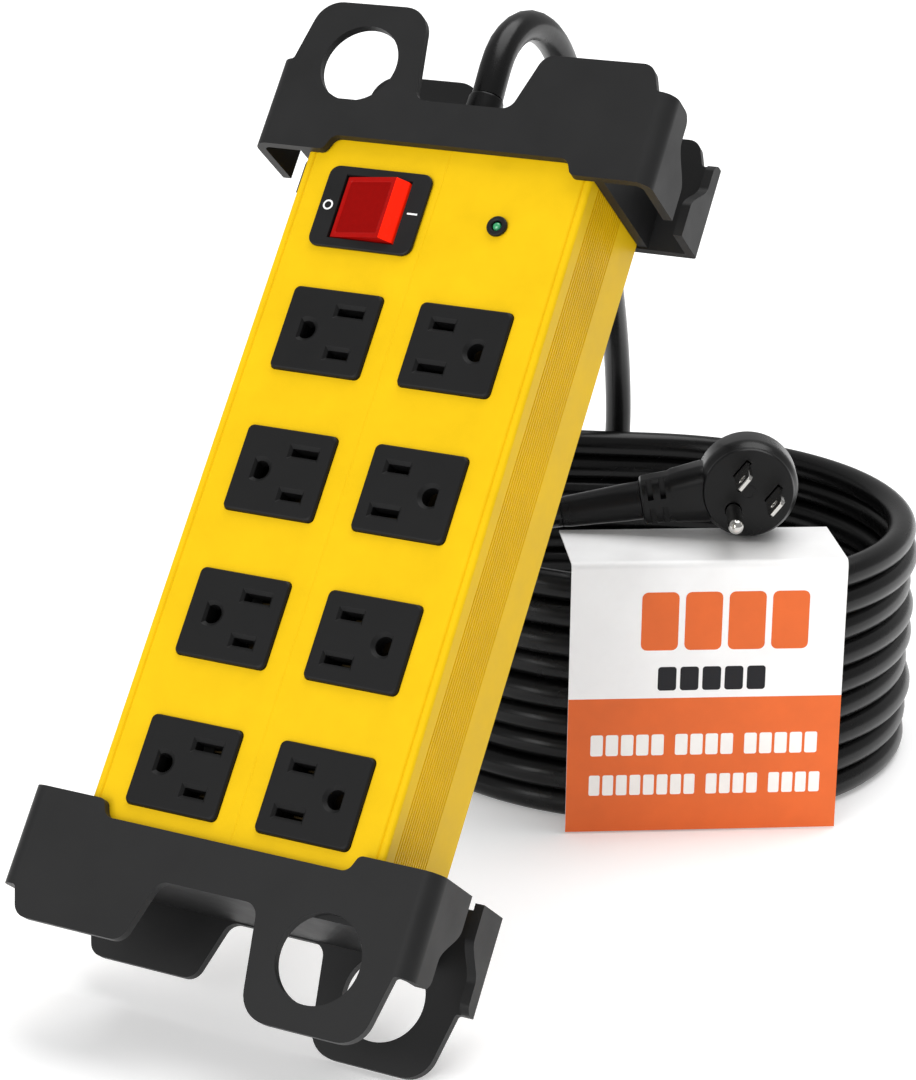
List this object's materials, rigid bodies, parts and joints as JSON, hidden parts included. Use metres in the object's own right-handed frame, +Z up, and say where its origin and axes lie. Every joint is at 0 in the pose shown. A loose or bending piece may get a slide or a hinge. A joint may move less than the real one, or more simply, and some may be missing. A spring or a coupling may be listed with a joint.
{
  "type": "power strip",
  "caption": "Metal-cased power strip with grounded outlets, a rocker switch, an indicator light, a slotted bracket at each end and a coiled cord with an angled plug.",
  "frame": {"origin": "bottom centre of the box of the strip itself, on the surface it stands on", "axes": "+Z up; the strip leans back 37 degrees from upright towards +Y, with its face towards -Y and its width along X"},
  "size_m": [0.1923, 0.4047, 0.2584],
  "materials": {
    "housing_paint": "satin",
    "zinc_steel": "satin",
    "bracket_plastic": "satin",
    "outlet_plastic": "matte",
    "switch_plastic": "matte",
    "rocker_red": "gloss",
    "lens_green": "gloss",
    "brass": "satin",
    "nylon": "matte",
    "board_green": "satin",
    "varistor_blue": "gloss",
    "wire_black": "satin",
    "wire_white": "satin",
    "wire_green": "satin",
    "nickel": "satin",
    "card": "matte",
    "plug_rubber": "satin",
    "cord_jacket": "satin"
  },
  "bodies": {
    "strip": {"back_plate": "zinc_steel", "board_post_1": "nylon", "board_post_2": "nylon", "bracket_bottom": "bracket_plastic", "bracket_top": "bracket_plastic", "bus_bar_ground_left": "brass", "bus_bar_ground_right": "brass", "bus_bar_line_left": "brass", "bus_bar_line_right": "brass", "bus_bar_neutral_left": "brass", "bus_bar_neutral_right": "brass", "card_band": "card", "contact_tray_left": "nylon", "contact_tray_right": "nylon", "cord_coil": "cord_jacket", "cord_inner_end": "cord_jacket", "cord_lead": "cord_jacket", "cord_tail": "cord_jacket", "end_screw_bottom_left": "zinc_steel", "end_screw_bottom_right": "zinc_steel", "end_screw_top_left": "zinc_steel", "end_screw_top_right": "zinc_steel", "housing": "housing_paint", "indicator_bezel": "switch_plastic", "indicator_lens": "lens_green", "jumper_ground": "wire_green", "jumper_line": "wire_black", "jumper_neutral": "wire_white", "outlet_1": "outlet_plastic", "outlet_2": "outlet_plastic", "outlet_3": "outlet_plastic", "outlet_4": "outlet_plastic", "outlet_5": "outlet_plastic", "outlet_6": "outlet_plastic", "outlet_7": "outlet_plastic", "outlet_8": "outlet_plastic", "plug_blade_left": "nickel", "plug_blade_right": "nickel", "plug_body": "plug_rubber", "plug_ground_pin": "nickel", "plug_strain_relief": "plug_rubber", "strain_relief": "plug_rubber", "surge_board": "board_green", "switch_body": "switch_plastic", "switch_terminal_common": "brass", "switch_terminal_off": "brass", "switch_terminal_on": "brass", "varistor_1": "varistor_blue", "varistor_2": "varistor_blue", "wire_ground_in": "wire_green", "wire_line_in": "wire_black", "wire_line_switched": "wire_black", "wire_neutral_in": "wire_white"},
    "rocker": {"rocker": "rocker_red", "rocker_spring": "zinc_steel", "rocker_plunger": "brass"},
    "contact_arm": {"contact_arm": "brass"}
  },
  "joints": [
    {"name": "rocker_tilt", "type": "hinge", "parent": "strip", "child": "rocker", "pos_m": [-0.0186, 0.03401, 0.20527], "axis": [0, 0.6018, 0.7986], "range_deg": [0, 23]},
    {"name": "contact_arm_tilt", "type": "hinge", "parent": "strip", "child": "contact_arm", "pos_m": [-0.0186, 0.04463, 0.19726], "axis": [0, 0.6018, 0.7986], "range_deg": [-16, 0]}
  ],
  "couplings": [
    {"joint": "contact_arm_tilt", "follows": "rocker_tilt", "ratio": -0.69565}
  ]
}
